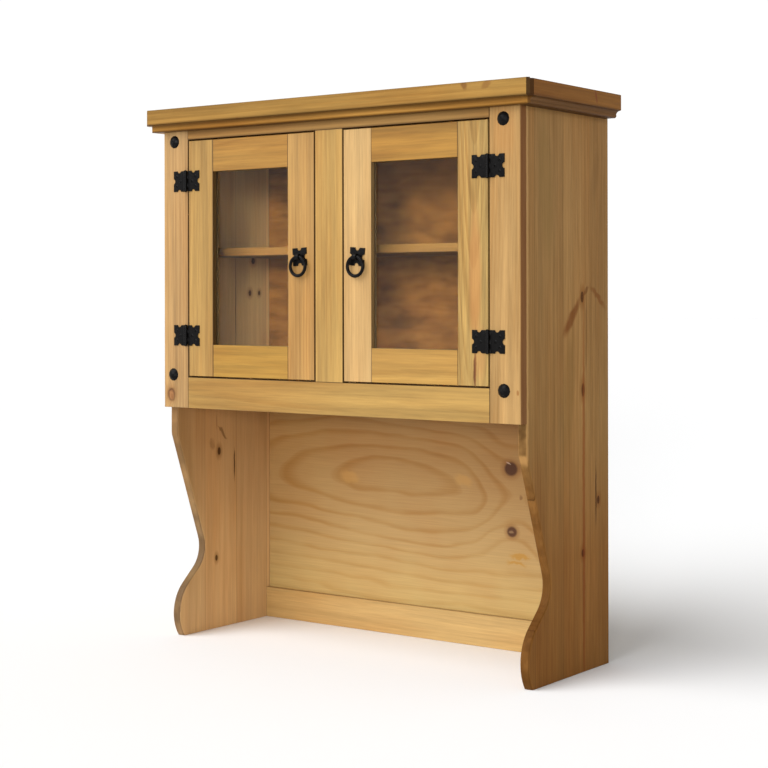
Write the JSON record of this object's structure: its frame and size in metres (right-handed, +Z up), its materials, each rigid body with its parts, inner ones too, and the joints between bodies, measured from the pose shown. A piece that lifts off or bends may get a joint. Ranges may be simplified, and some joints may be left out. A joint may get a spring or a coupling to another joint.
{
  "type": "display hutch",
  "caption": "Rustic pine hutch top: a glazed cupboard with one shelf, iron butterfly hinges and ring pulls, above an open bay between scrolled sides.",
  "frame": {"origin": "middle of the footprint at the level the sides stand on", "axes": "+X to the right as seen from the front, +Y to the wall, +Z up"},
  "size_m": [0.933, 0.341, 1.0868],
  "materials": {
    "pine": "waxed, satin",
    "plywood": "waxed, satin",
    "black_iron": "black, lightly hammered",
    "glass": "clear",
    "steel": "zinc plated"
  },
  "bodies": {
    "carcass": {"side_panel_left": "pine", "side_panel_right": "pine", "stile_left": "pine", "stile_right": "pine", "top_rail": "pine", "bottom_rail": "pine", "mullion": "pine", "stop_batten": "pine", "cupboard_floor": "pine", "shelf": "pine", "top_panel": "pine", "back_panel": "plywood", "back_rail": "pine", "cornice_board_front": "pine", "cornice_board_left": "pine", "cornice_board_right": "pine", "cornice_moulding_front": "pine", "cornice_moulding_left": "pine", "cornice_moulding_right": "pine", "catch_magnets": "steel", "dome_nails": "black_iron", "frame_hinge_leaves": "black_iron", "hinge_pins": "black_iron", "frame_hinge_screws": "black_iron", "back_nails": "steel"},
    "left_door": {"left_door_hinge_stile": "pine", "left_door_lock_stile": "pine", "left_door_top_rail": "pine", "left_door_bottom_rail": "pine", "left_door_glass": "glass", "left_door_beads": "pine", "left_door_hinge_leaves": "black_iron", "left_door_hinge_screws": "black_iron", "left_door_strike_disc": "steel", "left_pull_plate": "black_iron", "left_pull_bolt": "steel"},
    "left_ring": {"left_pull_ring": "black_iron"},
    "right_door": {"right_door_hinge_stile": "pine", "right_door_lock_stile": "pine", "right_door_top_rail": "pine", "right_door_bottom_rail": "pine", "right_door_glass": "glass", "right_door_beads": "pine", "right_door_hinge_leaves": "black_iron", "right_door_hinge_screws": "black_iron", "right_door_strike_disc": "steel", "right_pull_plate": "black_iron", "right_pull_bolt": "steel"},
    "right_ring": {"right_pull_ring": "black_iron"}
  },
  "joints": [
    {"name": "left_door_hinge", "type": "hinge", "parent": "carcass", "child": "left_door", "pos_m": [-0.36767, -0.1512, 0.781], "axis": [0, 0, -1], "range_deg": [0, 175]},
    {"name": "right_door_hinge", "type": "hinge", "parent": "carcass", "child": "right_door", "pos_m": [0.36273, -0.1512, 0.781], "axis": [0, 0, 1], "range_deg": [0, 175]},
    {"name": "left_ring_swing", "type": "hinge", "parent": "left_door", "child": "left_ring", "pos_m": [-0.07075, -0.1545, 0.7802], "axis": [-1, 0, 0], "range_deg": [-3, 180]},
    {"name": "right_ring_swing", "type": "hinge", "parent": "right_door", "child": "right_ring", "pos_m": [0.06875, -0.1545, 0.7784], "axis": [-1, 0, 0], "range_deg": [-3, 180]}
  ]
}
